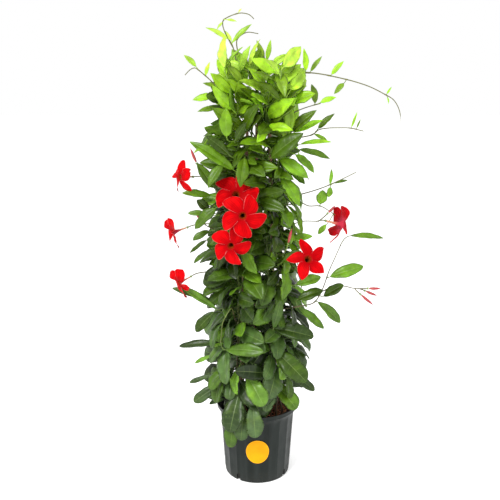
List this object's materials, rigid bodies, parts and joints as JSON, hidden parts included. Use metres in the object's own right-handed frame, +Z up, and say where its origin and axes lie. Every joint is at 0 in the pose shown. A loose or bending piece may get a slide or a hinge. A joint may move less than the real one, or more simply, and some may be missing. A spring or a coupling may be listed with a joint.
{
  "type": "potted mandevilla",
  "caption": "Tall climbing mandevilla with red trumpet flowers, trained up bamboo canes in a round fluted grower pot.",
  "frame": {"origin": "centre of the pot's flat bottom face", "axes": "+Z up, -Y the front that the picture shows, +X to its right"},
  "size_m": [0.6397, 0.3474, 1.29],
  "materials": {
    "pot_plastic": "satin moulded plastic",
    "label_paper": "coated paper",
    "soil": "loose potting soil with bark",
    "bamboo": "dry bamboo",
    "leaf": "leathery leaf with a soft gloss",
    "petal": "velvety petal",
    "bud": "smooth closed bud"
  },
  "bodies": {
    "root": {"pot": "pot_plastic", "label": "label_paper", "soil": "soil", "cane_1": "bamboo", "cane_2": "bamboo", "cane_3": "bamboo", "leafy_stem_01": "leaf", "leafy_stem_02": "leaf", "leafy_stem_03": "leaf", "leafy_stem_04": "leaf", "leafy_stem_05": "leaf", "leafy_stem_06": "leaf", "leafy_stem_07": "leaf", "leafy_stem_08": "leaf", "leafy_stem_09": "leaf", "leafy_stem_10": "leaf", "leafy_stem_11": "leaf", "leafy_stem_12": "leaf", "bloom_1": "petal", "bloom_2": "petal", "bloom_3": "petal", "bloom_4": "petal", "bloom_5": "petal", "bloom_6": "petal", "bloom_7": "petal", "bloom_8": "petal", "bud_1": "bud", "bud_2": "bud", "bud_3": "bud", "bud_4": "bud", "bud_5": "bud", "bud_6": "bud", "bud_7": "bud", "bud_8": "bud"}
  },
  "joints": []
}
